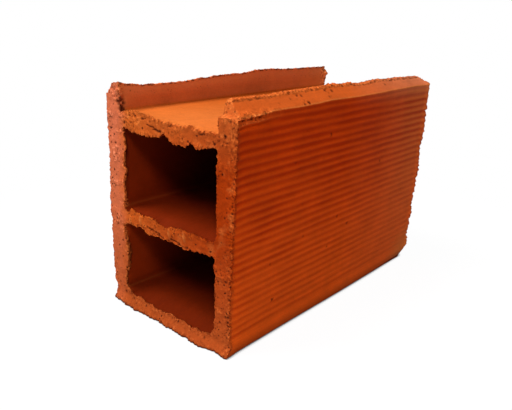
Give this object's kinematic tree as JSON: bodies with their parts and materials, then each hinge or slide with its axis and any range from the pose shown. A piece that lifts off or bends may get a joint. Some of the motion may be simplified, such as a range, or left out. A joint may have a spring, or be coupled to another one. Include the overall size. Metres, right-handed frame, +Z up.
{
  "type": "ceramic channel block",
  "caption": "Fired clay building block with closed rectangular cells, an open channel along its top between bevelled wall tops, and fluted sides.",
  "frame": {"origin": "middle of the underside, on the surface that the block stands on", "axes": "+X across the width, +Y along the length and the open channel, +Z up through the open channel"},
  "size_m": [0.14, 0.285, 0.1915],
  "materials": {
    "fired_clay": "matte"
  },
  "bodies": {
    "root": {"channel_block": "fired_clay"}
  },
  "joints": []
}
